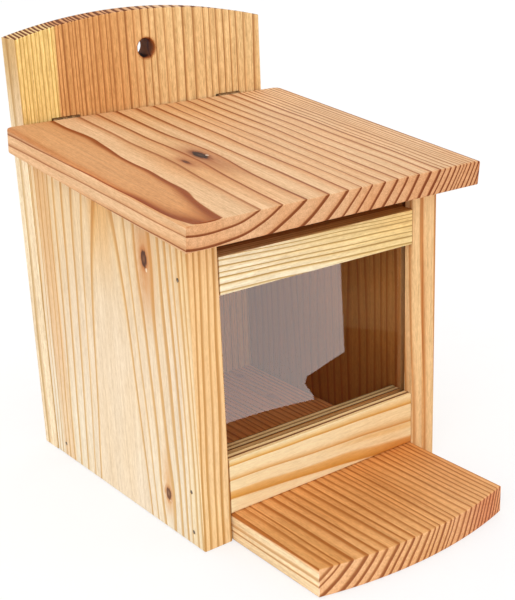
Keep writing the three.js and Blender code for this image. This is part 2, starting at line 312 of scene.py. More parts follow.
def ring_count(away, edges, step_before, step_after, far, before=()):
    """How many rings lie between the first edge and this distance, counted in parts of a ring.
    before holds a few (distance, count) pairs for a part ring ahead of the first edge. Beyond the edges the
    rings go on with even steps, as far as far says."""
    places = sorted(before) + [(edge, number) for number, edge in enumerate(edges)]
    while places[0][0] - step_before > far[0]:
        places.insert(0, (places[0][0] - step_before, places[0][1] - 1))
    while places[-1][0] + step_after < far[1]:
        places.append((places[-1][0] + step_after, places[-1][1] + 1))
    (low, first), (high, last) = places[0], places[-1]
    points = [((place - low) / (high - low), (number - first) / (last - first)) for place, number in places]
    part = away.finish.add("ShaderNodeFloatCurve", {"points": points}, {"Value": (away - low) / (high - low)})
    print("rings:", last - first, "from", round(low, 1), "to", round(high, 1), "mm")
    return part * (last - first) + first


def chance(year, seed):
    """A number from 0 to 1 that is the same all through one ring."""
    return year.finish.add("ShaderNodeTexWhiteNoise", {"noise_dimensions": "1D"}, {"W": year + (seed + 0.5)})


print("a knot with a reach of 9 mm pushes the rings", round(9 * 0.3 * math.exp(-1), 1), "mm aside there")

# %% [markdown]
# ## From rings to a planed board
# On top of the rings come the fibres, fine streaks that run with the grain, short dark flecks, broad
# patches where the log was more yellow or more red, and another tone where the fibres are cut across at a
# board's end. Planing leaves the hard late wood a little proud and a little glossier than the soft early
# wood, so roughness and bump follow the rings too. The dark line of a ring isn't as strong every year.
# Stains come last. They are places where the board is lighter or darker for another reason: a resinous
# patch or an edge rubbed in handling. Painted shade goes in the same way: in seams, grooves and the hanging
# hole, under the lid and the roof's overhang, and on the faces inside the box.

# %% Tints
def mix(finish, factor, first, second, blend="MIX"):
    return finish.add("ShaderNodeMix", {"data_type": "RGBA", "blend_type": blend},
                      {"Factor": factor, 6: first, 7: second}, out=2)


def warm(value):
    """Grey at 1, and browner the further it is below, as wood darkens."""
    return value.finish.add("ShaderNodeCombineColor", sockets={0: value, 1: value ** 1.25, 2: value ** 1.6})


def object_facing(finish, direction):
    """How far a face looks along a direction of the board itself, from -1 to 1."""
    return dot(finish.add("ShaderNodeTexCoord", out="Normal"), direction)


def end_grain(finish, grain):
    """1 on the faces that look along the grain, where the fibres are cut across."""
    return smooth(square(object_facing(finish, grain)), 0.5, 0.8)


def oval(beside, beyond, wide, tall):
    """1 on the edge of an oval, less inside it and more outside."""
    return radius(beside / wide, beyond / tall)


def add_knot(tint, across, along, fine, flecks, knot):
    """The flame of resin along the grain, the reddish rim, the dark eye with its paler heart, and a chip."""
    finish = tint.finish
    beside = across - knot["across"]
    beyond = along - knot["along"]
    wobble = (fine - 0.5) * 0.5 + (flecks - 0.5) * 0.7
    reach = oval(beside, beyond, *knot["size"]) + wobble
    flame_wide, flame_before, flame_after = knot["flame"]
    long = smooth(beyond, -flame_before, -2.0) * smooth(beyond, 2.0, flame_after, 1.0, 0.0)
    flame = long * fade(beside + (flecks - 0.5) * 5, 0.0, flame_wide) * (0.3 + fine * 1.1)
    tint = mix(finish, flame * 0.9, tint, knot["flame_colour"])
    tint = mix(finish, smooth(reach, 0.95, 1.9, 0.8, 0.0), tint, knot["rim_colour"])
    tint = mix(finish, smooth(reach, 0.8, 1.15, 1.0, 0.0), tint, knot["eye_colour"])
    tint = mix(finish, smooth(reach, 0.1, 0.65, knot["heart"], 0.0), tint, knot["heart_colour"])
    chip_across, chip_along, chip_wide, chip_tall = knot["chip"]
    chip = oval(across - chip_across, along - chip_along, chip_wide, chip_tall) + wobble * 0.8
    return mix(finish, smooth(chip, 0.6, 1.0, 0.85, 0.0), tint, knot["chip_colour"])


print("wood at 80 percent looks like", [round(0.8 ** power, 2) for power in (1, 1.25, 1.6)])

# %% The planed board
BUMP_DISTANCE = 0.0004


def planed_board(count, place, grain, tones, knots=(), late_start=0.4, line_share=0.08, line=1.0,
                 end_tone=(0.8, 0.7, 0.66), end_line=0.6, patch=0.5, fibre=0.55, broken=0.5, calm=0.0,
                 cut_share=0.03, stains_and_shade=()):
    """A bare wood, worked out from its rings.
    count: the rings. place: across, depth and along. grain: the direction that the fibres run in.
    tones: early, late, line and patch, and cut_line where the line has another colour on end grain.
    late_start: where in a ring the late wood starts.
    line_share, line: how much of a ring its dark line takes, and how strong the line is.
    end_tone, end_line, cut_share: on end grain, the tone, the line's strength, and how much wider it is.
    patch, fibre: how strong the broad patches and the streaks are.
    broken, calm: how far flecks break the line up, and where the rings fade.
    stains: pairs of a mask and a colour to multiply by, for real marks and for painted shade."""
    finish = count.finish
    across, depth, along = place
    year = finish.add("ShaderNodeMath", {"operation": "FLOOR"}, {0: count})
    season = count - year
    stretched = place_vector(across, depth, along * 0.03)
    fine = noise(stretched, 2.2, 3.0, 0.65)
    broad = noise(stretched, 0.45, 2.0, 0.5, 40.0)
    flecks = noise(place_vector(across, depth, along * 0.22), 1.25, 2.0, 0.6, 70.0)
    patches = noise(place_vector(across, depth, along * 0.25), 0.035, 2.0, 0.5, 90.0)
    pores = noise(place_vector(across, depth, along), 1.6, 3.0, 0.7, 15.0)

    cut = end_grain(finish, grain)
    strength = 0.7 + chance(year, 3.0) * 0.4
    stop = smooth(season, 0.97, 1.0, 1.0, 0.0)
    late = smooth(season, late_start, 0.98) * stop * strength * (1.0 - calm * 0.6)
    share = line_share + cut * cut_share
    winter = smooth(season, 1.0 - share * 2.6, 1.0 - share) * stop * strength
    winter = winter * (0.5 + fine) * (1.0 - calm * 0.75)
    winter = winter * ((1.0 - broken) + flecks * (broken * 2.0))

    tint = mix(finish, smooth(patches, 0.38, 0.72, 0.0, patch), tones["early"], tones["patch"])
    tint = mix(finish, late * (0.6 + broad * 0.6), tint, tones["late"])
    tint = mix(finish, winter * line, tint, tones["line"])
    streak = 1.0 + (fine - 0.5) * fibre + (broad - 0.5) * (fibre * 0.8) + (flecks - 0.5) * (fibre * 0.9)
    tint = mix(finish, 1.0, tint, warm(streak), "MULTIPLY")
    end = mix(finish, 1.0, tint, (*end_tone, 1.0), "MULTIPLY")
    end = mix(finish, winter * end_line, end, tones.get("cut_line", tones["line"]))
    end = mix(finish, 1.0, end, warm(0.85 + pores * 0.3), "MULTIPLY")
    tint = mix(finish, cut, tint, end)

    for knot in knots:
        tint = add_knot(tint, across, along, fine, flecks, knot)
    # Stains and painted shade each multiply the colour under their mask.
    for mask, colour_to_multiply in stains_and_shade:
        tint = mix(finish, mask, tint, mix(finish, 1.0, tint, (*colour_to_multiply, 1.0), "MULTIPLY"))

    rough = 0.66 - late * 0.12 + (fine - 0.5) * 0.2 + cut * 0.25
    height = fine * 0.5 + late * 0.35 + flecks * 0.35
    bump = finish.add("ShaderNodeBump", sockets={"Strength": 0.3, "Distance": BUMP_DISTANCE, "Height": height})
    shader = finish.add("ShaderNodeBsdfPrincipled", sockets={
        "Base Color": tint, "Roughness": rough, "Normal": bump, "Specular IOR Level": 0.2})
    return finish.surface(shader)


print("the wood's bump distance is", BUMP_DISTANCE * 1000, "mm")

# %% [markdown]
# ## The roof board
# The lid is flat sawn: the heart of the log was nearly 70 mm above it, close to its left edge. The rings
# therefore lie nearly flat there, as one broad island with a dark rim, and stand steeper and closer towards
# the right. At the front end the same rings are cut across, and show as arcs. A knot with a dark eye sits
# left of the middle, with the trace of a small twig beside it. The board gets its own slanted directions,
# and the rings are listed by their distance from the heart.

# %% Roof rings and knots
roof_slope = math.radians(6)
roof_thickness = 14.5
roof_length = 193
roof_across = (1, 0, 0)
roof_depth = (0, -math.sin(roof_slope), math.cos(roof_slope))
roof_along = (0, math.cos(roof_slope), math.sin(roof_slope))
roof_corner = (0, 170.6, 214.6)
roof_heart = (-90.5, 66.0)
heart_drift = (0.016, 0.0194)
roof_rings = (70, 76.4, 83.5, 92.6, 103.3, 113.2, 120.2, 127, 135, 142.7, 149.8, 157.5, 165.5, 172, 175,
              179.3, 183.3, 186.7, 189, 191.4, 194.7, 198, 201)
roof_knot = {"across": -31.8, "along": -102.9, "size": (3.0, 7.0), "reach": (9, 26), "push": 0.3,
             "flame": (15, 56, 30), "flame_colour": paint(172, 100, 60), "rim_colour": paint(134, 78, 54),
             "eye_colour": paint(66, 50, 46), "heart": 0.35, "heart_colour": paint(120, 92, 80),
             "chip": (-28.6, -105.2, 1.1, 1.6), "chip_colour": paint(236, 216, 196)}
roof_twig = {**roof_knot, "across": -45.6, "along": -109.5, "size": (1.1, 3.4), "reach": (5, 12), "push": 0.2,
             "flame": (7, 20, 16), "eye_colour": paint(112, 68, 46), "chip": (-45.6, -112.0, 0.5, 1.0),
             "chip_colour": paint(150, 96, 66)}
print("roof:", len(roof_rings), "rings, the heart", roof_heart[1], "mm above the rear of the upper face")

# %% [markdown]
# The heart isn't quite parallel to the board, so its place drifts a little with every millimetre along the
# grain. Beside the knot the rim of the island bends in. The colours are those of an orange softwood, redder
# where the lines are cut across, and the stains darken the rims. The middle of the underside, over the
# feeding slot, is painted darker as shade.

# %% Roof wood
finish = Finish("roof_softwood")
place = board_place(finish, roof_across, roof_depth, roof_along, roof_corner)
across, depth, along = place
wave = drift(place, 0.45, 0.035)
swing = smooth(across, -72, -56, 16.0, 4.0)
bend = fade(along + 103, 4, 46) * band(across, -58, -18, 9)
across_seen = past_knots(across, along, [roof_knot]) - bend * 3.6
beside_heart = across_seen - roof_heart[0] + along * heart_drift[0] + wave * swing
away = radius(beside_heart, depth - roof_heart[1] + along * heart_drift[1])
count = ring_count(away, roof_rings, 5.5, 3.0, (50, 215), [(60, -0.5), (69, -0.2)])
line_width = smooth(away, 120, 195, 0.07, 0.14) + smooth(along, -110, -10, 0.0, 0.03)

on_top = smooth(depth, -1.2, -0.4)
first_ring = roof_rings[0]
island = smooth(away, first_ring - 0.2, first_ring, 1.0, 0.0) * on_top
island_rim = smooth(away, first_ring - 1.2, first_ring - 0.2) * island
left_rim = (1.0 - smooth(across + wave * 4, 1.5 - ROOF_HALF, 4.5 - ROOF_HALF)) * on_top
right_rim = smooth(across + wave * 2, ROOF_HALF - 2.4, ROOF_HALF - 0.6)
orange = band(across, -45, 45, 22) * smooth(along, -75, -10)
# Painted shade on the middle of the lid's underside, over the feeding slot.
underside_shade = smooth(depth, 0.5 - roof_thickness, 0.9 - roof_thickness, 1.0, 0.0) * band(across, -62, 62, 14)
underside_shade = underside_shade * smooth(along, -186, -160) * smooth(along, -30, -5, 1.0, 0.0)
round_knot = band(across + wave * 8, -64, -22, 13) * band(along, -150, -52, 24)
rear_right = smooth(across, 48, 76) * smooth(along, -62, -30)
front_end = smooth(along, -roof_length, 1.5 - roof_length, 1.0, 0.0) * smooth(across, -10, 90)
print("the island ends", first_ring, "mm from the heart")

# %% Roof colours
roof_tones = {"early": paint(231, 189, 144), "late": paint(210, 148, 94), "line": paint(154, 84, 36),
              "cut_line": paint(132, 66, 24), "patch": paint(226, 166, 112)}
roof_stains_and_shade = [
    (round_knot, (0.94, 0.86, 0.76)),
    (rear_right, (1.1, 1.1, 1.06)),
    (underside_shade, (0.88, 0.64, 0.46)),
    (island, (0.97, 0.9, 0.8)),
    (island_rim, (0.92, 0.74, 0.54)),
    (left_rim, (0.9, 0.76, 0.64)),
    (right_rim, (0.74, 0.58, 0.5)),
    (orange * 0.7, (0.98, 0.88, 0.68)),
    (front_end, (0.98, 0.88, 0.8)),
]
roof_wood = planed_board(count, place, roof_along, roof_tones, [roof_knot, roof_twig], stains_and_shade=roof_stains_and_shade,
                         line_share=line_width, end_tone=(0.96, 0.84, 0.78), end_line=1.4)
dress(roof_wood, "roof_board")

# %% [markdown]
# ## The back board
# This board has the closest lines and three colours: yellow sapwood at the left, an orange brown heart
# band, and paler wood with wide rings at the right. The arched top is end grain, where the lines run askew
# from front to back, which tells that the heart of the log lay in front of the board, beyond its right
# edge. The wall of the hanging hole is darker, partly as rough drilled wood and partly as painted shade,
# which deepens into the hole. The upper part of the left side face and the faces inside the box are
# painted darker as shade. The lines were counted across the front face, and their distances from the
# heart follow from that.

# %% Back board rings
back_lines = (-88, -85.5, -83.1, -81, -78.2, -75.3, -72.6, -69.7, -66.7, -64.3, -61.9, -59.5, -57, -52.6,
              -50.1, -48.2, -45.7, -41.8, -39.8, -36.5, -32.2, -27.3, -25, -19.8, -14.6, -9.2, -3.7, 2.2,
              6.4, 13.1, 19.9, 26.7, 34.4, 42.5, 47, 52.3, 57.9, 63.3, 68.3, 74.2, 82)
back_heart = (105, 141)
back_rings = sorted(math.hypot(back_heart[0] - line, BACK_FACE - back_heart[1]) for line in back_lines)
back_grain = (0, 0, 1)
hole_height = 250.8
hole_radius = 6.0

finish = Finish("back_softwood")
place = board_place(finish, (1, 0, 0), (0, 1, 0), back_grain)
across, depth, along = place
wave = drift(place, 0.2, 0.03)
away = radius(across - back_heart[0] + wave * 3, depth - back_heart[1])
count = ring_count(away, back_rings, 5.0, 2.6, (12, 205))
print("back board:", len(back_lines), "lines in", 2 * OUTER_HALF, "mm")

# %% Back board wood
sap = smooth(across + wave * 6 - along * 0.035, -71.5, -69.5)
heart = smooth(across + wave * 20, -30, 15)
left_face = smooth(across, 0.1 - OUTER_HALF, 0.6 - OUTER_HALF, 1.0, 0.0)
early = mix(finish, sap, paint(252, 216, 138), paint(226, 164, 100))
early = mix(finish, heart, early, paint(242, 201, 141))
early = mix(finish, left_face, early, paint(246, 222, 184))
late = mix(finish, sap, paint(226, 180, 92), paint(208, 136, 74))
late = mix(finish, heart, late, paint(222, 165, 99))
late = mix(finish, left_face, late, paint(236, 200, 152))
back_tones = {"early": early, "late": late, "line": mix(finish, sap, paint(186, 142, 66), paint(152, 92, 44)),
              "cut_line": paint(116, 60, 22), "patch": mix(finish, 0.5, early, paint(236, 168, 100))}

off_hole = oval(across, along - hole_height, hole_radius, hole_radius)
ragged = noise(place_vector(across, depth, along), 0.7, 3.0, 0.7, 31.0) - 0.5
# The hole's wall is darker, partly as rough drilled wood and partly as painted shade. Deeper in, painted shade
# darkens it much more, less towards its right.
hole_wall = smooth(off_hole, 1.02, 1.14, 1.0, 0.0)
hole_deep_shade = hole_wall * smooth(depth, BACK_FACE + 1, BACK_FACE + 5) * smooth(across, 2.0, 5.0, 1.0, 0.45)
hole_rim = smooth(off_hole + ragged * 0.5, 1.1, 1.32, 0.8, 0.0)
# Painted shade on the upper part of the board's left side face, and on the faces inside the box.
left_top_shade = smooth(along, 190, 262) * left_face
inside = inside_box(across, depth, along)
back_stains_and_shade = [
    (hole_wall, (0.62, 0.36, 0.22)),
    (hole_deep_shade, (0.1, 0.05, 0.03)),
    (hole_rim, (0.62, 0.42, 0.28)),
    (left_top_shade, (0.73, 0.59, 0.38)),
    (inside, (1.0, 0.74, 0.55)),
]
back_wood = planed_board(count, place, back_grain, back_tones, patch=0.3, late_start=0.45, fibre=0.8,
                         line_share=smooth(across, -60, 20, 0.16, 0.1), line=0.62, cut_share=0.12,
                         end_tone=(0.9, 0.86, 1.05), end_line=smooth(across, -60, 30, 1.9, 1.2),
                         broken=0.8, calm=inside * 0.35, stains_and_shade=back_stains_and_shade)
dress(back_wood, "back_board")

# %% [markdown]
# ## The left side board
# The left side board is the palest, sawn so that its middle lies flat along one ring. Towards the front
# edge it has two small knots, one above the other, with orange flames. Its log leaned a little, so the
# heart moves away from the board with the height.

# %% Left side rings and knots
side_across = (0, 1, 0)
side_depth = (1, 0, 0)
side_grain = (0, 0, 1)
left_rings = (101.7, 104.0, 107.4, 111.5, 116.1, 119.8, 122.6, 126.2, 128.7)
left_knots = [
    {"across": 42.4, "along": 161, "size": (2.9, 5.0), "reach": (10, 28), "push": 0.6, "flame": (14, 50, 34),
     "flame_colour": paint(214, 144, 76), "rim_colour": paint(196, 126, 76), "eye_colour": paint(92, 58, 44),
     "heart": 0.6, "heart_colour": paint(150, 104, 74), "chip": (40.6, 154.8, 1.0, 1.5),
     "chip_colour": paint(250, 234, 212)},
    {"across": 34.2, "along": 23, "size": (2.7, 3.8), "reach": (9, 24), "push": 0.6, "flame": (8, 22, 46),
     "flame_colour": paint(222, 158, 86), "rim_colour": paint(200, 130, 78), "eye_colour": paint(116, 74, 50),
     "heart": 0.6, "heart_colour": paint(166, 120, 84), "chip": (32.6, 19.0, 0.6, 0.8),
     "chip_colour": paint(236, 206, 170)},
]

finish = Finish("left_side_softwood")
place = board_place(finish, side_across, side_depth, side_grain)
across, depth, along = place
wave = drift(place, 0.3, 0.03)
across_seen = past_knots(across, along, left_knots)
left_heart = (84.5, 12)
heart_lean = 0.0227
lean_height = 135
heart_depth = along * heart_lean + (left_heart[1] - lean_height * heart_lean)
away = radius(across_seen - left_heart[0] + wave * 5, depth - heart_depth)
count = ring_count(away, left_rings, 3.2, 3.0, (76, 150), [(88, -1.0), (100.6, -0.6)])
print("left side board:", len(left_rings), "rings and", len(left_knots), "knots")

# %% Left side wood
front_face = smooth(across, 0.1, 0.5, 1.0, 0.0)
front_strip = smooth(across + wave * 4, 6, 16, 1.0, 0.0)
rear_strip = band(across - along * 0.02, 146, 161, 2.0)
upper_patch = band(across, 78, 100, 5) * smooth(along, 120, 185)
early = mix(finish, front_strip * 0.6, paint(239, 217, 187), paint(246, 212, 158))
early = mix(finish, front_face, early, paint(248, 202, 142))
early = mix(finish, rear_strip * 0.5 + upper_patch * 0.4, early, paint(240, 202, 158))
left_tones = {"early": early, "late": mix(finish, front_face, paint(240, 206, 152), paint(234, 182, 114)),
              "line": mix(finish, front_face, paint(212, 164, 104), paint(200, 144, 78)),
              "patch": paint(244, 212, 166)}

# Painted shade: on the faces inside the box, in the gap beside the front edge's inner side, and on the upper
# part under the roof's overhang.
inside = inside_box(depth, across, along)
inner_edge_shadow = smooth(depth, -INNER_HALF - 0.8, -INNER_HALF - 0.2) * front_face
shade_under_roof = smooth(along, 80, 185) * (1.0 - front_face)
pale_foot = smooth(along, 20, 95, 1.0, 0.0) * (1.0 - band(across, 48, 122, 16) * 0.75)
left_stains_and_shade = [
    (shade_under_roof, (0.95, 0.86, 0.7)),
    (pale_foot, (1.04, 1.13, 1.22)),
    (inner_edge_shadow, (0.6, 0.44, 0.3)),
    (in_pane_groove(across, absolute(depth)), GROOVE_SHADE),
    (rear_strip, (0.95, 0.87, 0.78)),
    (upper_patch, (0.95, 0.83, 0.64)),
    (inside, (1.0, 0.76, 0.5)),
]
left_wood = planed_board(count, place, side_grain, left_tones, left_knots, patch=0.35, late_start=0.5,
                         line_share=smooth(across, 20, 60, 0.2, 0.12), fibre=0.4, calm=inside,
                         stains_and_shade=left_stains_and_shade)
dress(left_wood, "left_side_panel")

# %% [markdown]
# ## The right side board
# Only its front edge and its inner face are seen from the front. Its rings stand on edge, so the inner face
# has close straight lines. That far from the heart the rings are nearly flat, and a slanting count of even
# rings is simpler than a log. One strong line runs down the front edge. The inner face is painted darker as
# shade inside the box, and darker still low down.

# %% Right side wood
finish = Finish("right_side_softwood")
place = board_place(finish, side_across, side_depth, side_grain)
across, depth, along = place
wave = drift(place, 0.12, 0.04)
ring_on_face = 7.5
ring_on_edge = 9.5
first_count = 8.38
count = across / ring_on_face - depth / ring_on_edge + wave * 2.2 - along * 0.002 + first_count
strong_line = band(depth + along * 0.012, 78.0, 79.4, 0.5) * smooth(across, 0.1, 3.0, 1.0, 0.0)
right_tones = {"early": paint(241, 197, 140), "late": paint(230, 168, 104), "line": paint(204, 136, 72),
               "patch": paint(238, 190, 134)}
# Painted shade inside the box, darker still low down, and in the pane's groove.
inside = inside_box(depth, across, along)
right_stains_and_shade = [
    (in_pane_groove(across, absolute(depth)), GROOVE_SHADE),
    (strong_line, (0.86, 0.66, 0.48)),
    (inside, (0.68, 0.43, 0.21)),
    (inside * smooth(along, 58, 112, 1.0, 0.0), (0.75, 0.64, 0.52)),
]
right_wood = planed_board(count, place, side_grain, right_tones, patch=0.35, line=0.9, line_share=0.14,
                          calm=inside * 0.3, stains_and_shade=right_stains_and_shade)
dress(right_wood, "right_side_panel")

# %% [markdown]
# ## The floor board
# The floor runs out in front as the landing platform. It is the reddest board, with dense straight lines
# from back to front. Its front end is bowed, and shows the rings as slanting stripes of end grain. Low on
# its left edge the wood is pale sapwood. Two small knots sit on the floor of the box, behind the pane.

# %% Floor rings and knots
floor_grain = (0, 1, 0)
floor_heart = (-124, 79)
floor_left = piece_box("floor_board")[0][0]
floor_rings = (84.3, 89.8, 92.4, 98.1, 105.2, 110.1, 115.3, 121.9, 126.1, 131.5, 136.4, 141.8, 145.6, 148.6,
               153.1, 157.2, 159.7, 163.7, 168.8, 173.5, 178.1, 181.9, 185.7, 188.7, 192.3, 196.1)


def floor_knot(across, along, size):
    return {"across": across, "along": along, "size": size, "reach": (7, 16), "push": 0.5,
            "flame": (6, 18, 14), "flame_colour": paint(214, 140, 80), "rim_colour": paint(204, 122, 72),
            "eye_colour": paint(186, 100, 58), "heart": 0.3, "heart_colour": paint(200, 118, 72),
            "chip": (across, along - 6, 0.4, 0.6), "chip_colour": paint(150, 100, 66)}


floor_knots = [floor_knot(50.1, 158, (2.3, 3.6)), floor_knot(45.5, 115, (2.4, 3.8))]
finish = Finish("floor_softwood")
place = board_place(finish, (1, 0, 0), (0, 0, 1), floor_grain)
across, depth, along = place
across_seen = past_knots(across, along, floor_knots)
wave = drift(place, 0.3, 0.04)
away = radius(across_seen - floor_heart[0] + wave * 3, depth - floor_heart[1])
count = ring_count(away, floor_rings, 4.0, 3.0, (60, 225))
print("floor board:", len(floor_rings), "rings and", len(floor_knots), "knots")

# %% Floor wood
pale_edge = smooth(across, floor_left + 0.05, floor_left + 0.4, 1.0, 0.0)
pale_edge = pale_edge * smooth(depth, FLOOR_TOP - 3, FLOOR_TOP - 0.5, 1.0, 0.0)
floor_tones = {"early": mix(finish, pale_edge, paint(232, 168, 104), paint(250, 222, 178)),
               "late": mix(finish, pale_edge, paint(210, 138, 72), paint(240, 200, 146)),
               "line": mix(finish, pale_edge, paint(178, 104, 44), paint(206, 150, 90)),
               "patch": mix(finish, pale_edge, paint(218, 148, 80), paint(246, 214, 168)),
               "cut_line": paint(150, 86, 46)}

# Painted shade on the floor inside the box.
inside = inside_box(across, along, depth) * smooth(depth, FLOOR_TOP - 1, FLOOR_TOP)
on_top = smooth(depth, FLOOR_TOP - 0.6, FLOOR_TOP - 0.1)
front_end = end_grain(finish, floor_grain) * smooth(across, 0, 60)
middle = band(across + wave * 20, -38, 22, 14)
front_margin = smooth(along, -82, -42, 1.0, 0.0) * on_top * smooth(across, -54, -34)
left_margin = smooth(across, -52, -42, 1.0, 0.0) * smooth(along, -30, -14, 1.0, 0.0) * on_top
rear_right = smooth(along, -44, -4) * smooth(across, -20, 50) * (1.0 - inside)
end_corner = front_end * band(across, 40, 62, 8)
floor_stains_and_shade = [
    (inside, (1.0, 0.72, 0.48)),
    (front_end, (0.9, 0.73, 0.69)),
    (middle, (0.96, 0.92, 0.84)),
    (front_margin, (1.07, 1.18, 1.36)),
    (left_margin, (0.92, 0.9, 0.82)),
    (rear_right, (0.93, 0.82, 0.66)),
    (end_corner, (0.9, 0.76, 0.72)),
]
floor_wood = planed_board(count, place, floor_grain, floor_tones, floor_knots, late_start=0.3,
                          line_share=0.16, end_tone=(1.12, 1.28, 1.75), end_line=0.9, calm=inside * 0.15,
                          stains_and_shade=floor_stains_and_shade)
dress(floor_wood, "floor_board")

# %% [markdown]
# ## The lower rail
# The two rails lie level between the side boards. Their fronts were sawn almost along the rings, so the
# rings show as a few broad yellow bands that fan out and sink to the right, on cream wood. On the tops, cut
# straight through the rings, they are close dark lines, and the tops are painted a little darker as shade.
# Here a count of lines that fan out is simpler than a log: the height below a tilted line, divided by a
# spacing that grows to the right. Both ends have a dark seam of painted shade, and the pane's groove and
# the faces inside the box are painted darker as shade too.

# %% What both rails share
rail_grain = (1, 0, 0)
# Painted shade in the seams where the rails meet the side boards.
SEAM_SHADE = (0.55, 0.4, 0.28)


def rail_place(finish):
    return board_place(finish, (0, 0, 1), (0, 1, 0), rail_grain)


def rail_seam(along):
    """Rises to 1 over the last millimetre before the side boards, at both ends, where painted shade marks the
    seam.
    """
    return smooth(square(along), (INNER_HALF - 0.9) ** 2, (INNER_HALF - 0.1) ** 2)


def upward(finish):
    """1 on the faces that look up."""
    return smooth(object_facing(finish, (0, 0, 1)), 0.5, 0.8)


print("rail seams from", INNER_HALF - 0.9, "mm off the middle")

# %% Lower rail wood
lower_lines = (-36, -28.5, -21, -13.6, -5.6, 2.9, 11.6, 23, 36)
finish = Finish("lower_rail_softwood")
place = rail_place(finish)
across, depth, along = place
wave = drift(place, 0.3, 0.06)
right = (along + INNER_HALF) / (2 * INNER_HALF)
drop = (49.5 - right * 1.5 - across + wave * 2.5) / (1.0 + right * 0.42)
count = ring_count(drop - depth * 2.0, lower_lines, 7.5, 12, (-60, 60))

top_face = upward(finish)
off_top = 1.0 - top_face
low_band = band(drop + wave * 1.5, 18.2, 22.9, 0.9) * off_top
right_end = smooth(right, 0.35, 1.0) * off_top
tail = band(drop, 11.6, 14.2, 1.0) * smooth(right, 0.4, 0.8) * off_top
lower_tones = {"early": mix(finish, low_band * 0.82, paint(254, 233, 186), paint(234, 176, 92)),
               "late": mix(finish, smooth(drop, 3, 12), paint(232, 184, 96), paint(224, 158, 62)),
               "line": mix(finish, top_face, paint(214, 150, 64), paint(122, 70, 28)),
               "patch": paint(246, 212, 156)}
# Painted shade: the end seams, the pane's groove, the tops, and the faces inside the box.
lower_stains_and_shade = [
    (rail_seam(along), SEAM_SHADE),
    (beside_pane(depth) * off_top, (1.0, 0.72, 0.5)),
    (top_face, (0.96, 0.82, 0.66)),
    (inside_box(along, depth, across) * off_top, (0.8, 0.72, 0.64)),
    (right_end, (0.95, 0.83, 0.72)),
    (low_band * smooth(right, 0.65, 1.0), (0.9, 0.74, 0.6)),
    (tail, (0.94, 0.82, 0.64)),
]
lower_wood = planed_board(count, place, rail_grain, lower_tones, patch=0.3, late_start=0.5, fibre=0.3,
                          line_share=0.06 + top_face * 0.16, line=0.7 + top_face * 0.4, stains_and_shade=lower_stains_and_shade)
dress(lower_wood, "lower_rail")

# %% [markdown]
# ## The upper rail
# The upper rail is the palest piece, nearly white at its left end and yellower towards the right. Its lines
# lie level and even, and only sink a little to the right, so the height itself is counted. Its top lies in
# the feeding slot under the lid, and is painted darker there as shade, as is its face inside the box.

# %% Upper rail wood
upper_lines = (144.9, 148.9, 153, 156.8, 159.3, 162.7, 166, 168, 170)
finish = Finish("upper_rail_softwood")
place = rail_place(finish)
across, depth, along = place
wave = drift(place, 0.3, 0.06)
level = across + (along + INNER_HALF) * 0.036 + wave * 2 + depth * 0.8
count = ring_count(level, upper_lines, 4.0, 2.5, (130, 200))
yellow = smooth(along + across * 2.0, 260, 360)
upper_tones = {"early": mix(finish, yellow, paint(255, 242, 210), paint(252, 226, 164)),
               "late": paint(247, 214, 144), "line": paint(190, 148, 80), "patch": paint(244, 208, 140)}
upper_right = smooth(along, 24, 66) * smooth(across, 150, 162)
# Painted shade: the end seams, the top in the feeding slot, and the face inside the box.
upper_stains_and_shade = [
    (upper_right, (0.99, 0.9, 0.76)),
    (rail_seam(along), SEAM_SHADE),
    (upward(finish), (0.6, 0.46, 0.36)),
    (inside_box(along, depth, across), (0.7, 0.56, 0.44)),
]
upper_wood = planed_board(count, place, rail_grain, upper_tones, late_start=0.35, line_share=0.13,
                          stains_and_shade=upper_stains_and_shade)
dress(upper_wood, "upper_rail")

# %% [markdown]
# ## Hinges, screws and nails
# The hinges are small bronzed steel ones, dark, with lighter rubbed patches. The nails and the back board's
# screws are plain steel, dull, with darker spots where damp got at them. Both are one recipe: clouds of a
# darker tone, and fine scratches that make the gloss uneven.

# %% Steel
def steel(name, clean, dark, rough, spots):
    """spots: how many clouds fit in a metre."""
    finish = Finish(name)
    point = finish.add("ShaderNodeTexCoord", out="Object")
    clouds = noise(point, spots, 4.0, 0.6)
    drawn_out = finish.add("ShaderNodeVectorMath", {"operation": "MULTIPLY"}, {0: point, 1: (1, 12, 12)})
    scratches = noise(drawn_out, 700.0, 3.0)
    tint = mix(finish, smooth(clouds, 0.38, 0.62), clean, dark)
    spread = rough + (clouds - 0.5) * 0.3 + (scratches - 0.5) * 0.2
    bump = finish.add("ShaderNodeBump", sockets={"Strength": 0.3, "Distance": 0.0002, "Height": scratches})
    shader = finish.add("ShaderNodeBsdfPrincipled", sockets={
        "Base Color": tint, "Roughness": spread, "Normal": bump, "Metallic": 1.0})
    return finish.surface(shader)


hinge_names = [name for name in nodes if "hinge" in name]
nail_names = [name for name in nodes if "nail" in name or "back_screw" in name]
dress(steel("bronzed_steel", paint(164, 128, 88), paint(106, 80, 56), 0.42, 420.0), *hinge_names)
dress(steel("dull_steel", paint(150, 136, 120), paint(92, 74, 58), 0.5, 900.0), *nail_names)

# %% [markdown]
# ## The window pane
# A real pane lets light through and mirrors a little of the room, more at a slant. A glass shader would
# bend and block the light that has to reach the inside, so a clear shader is mixed with a glossy one by the
# Fresnel node. Both faces of the sheet mirror, and the back face is left clear, so the front one counts for
# nearly two.

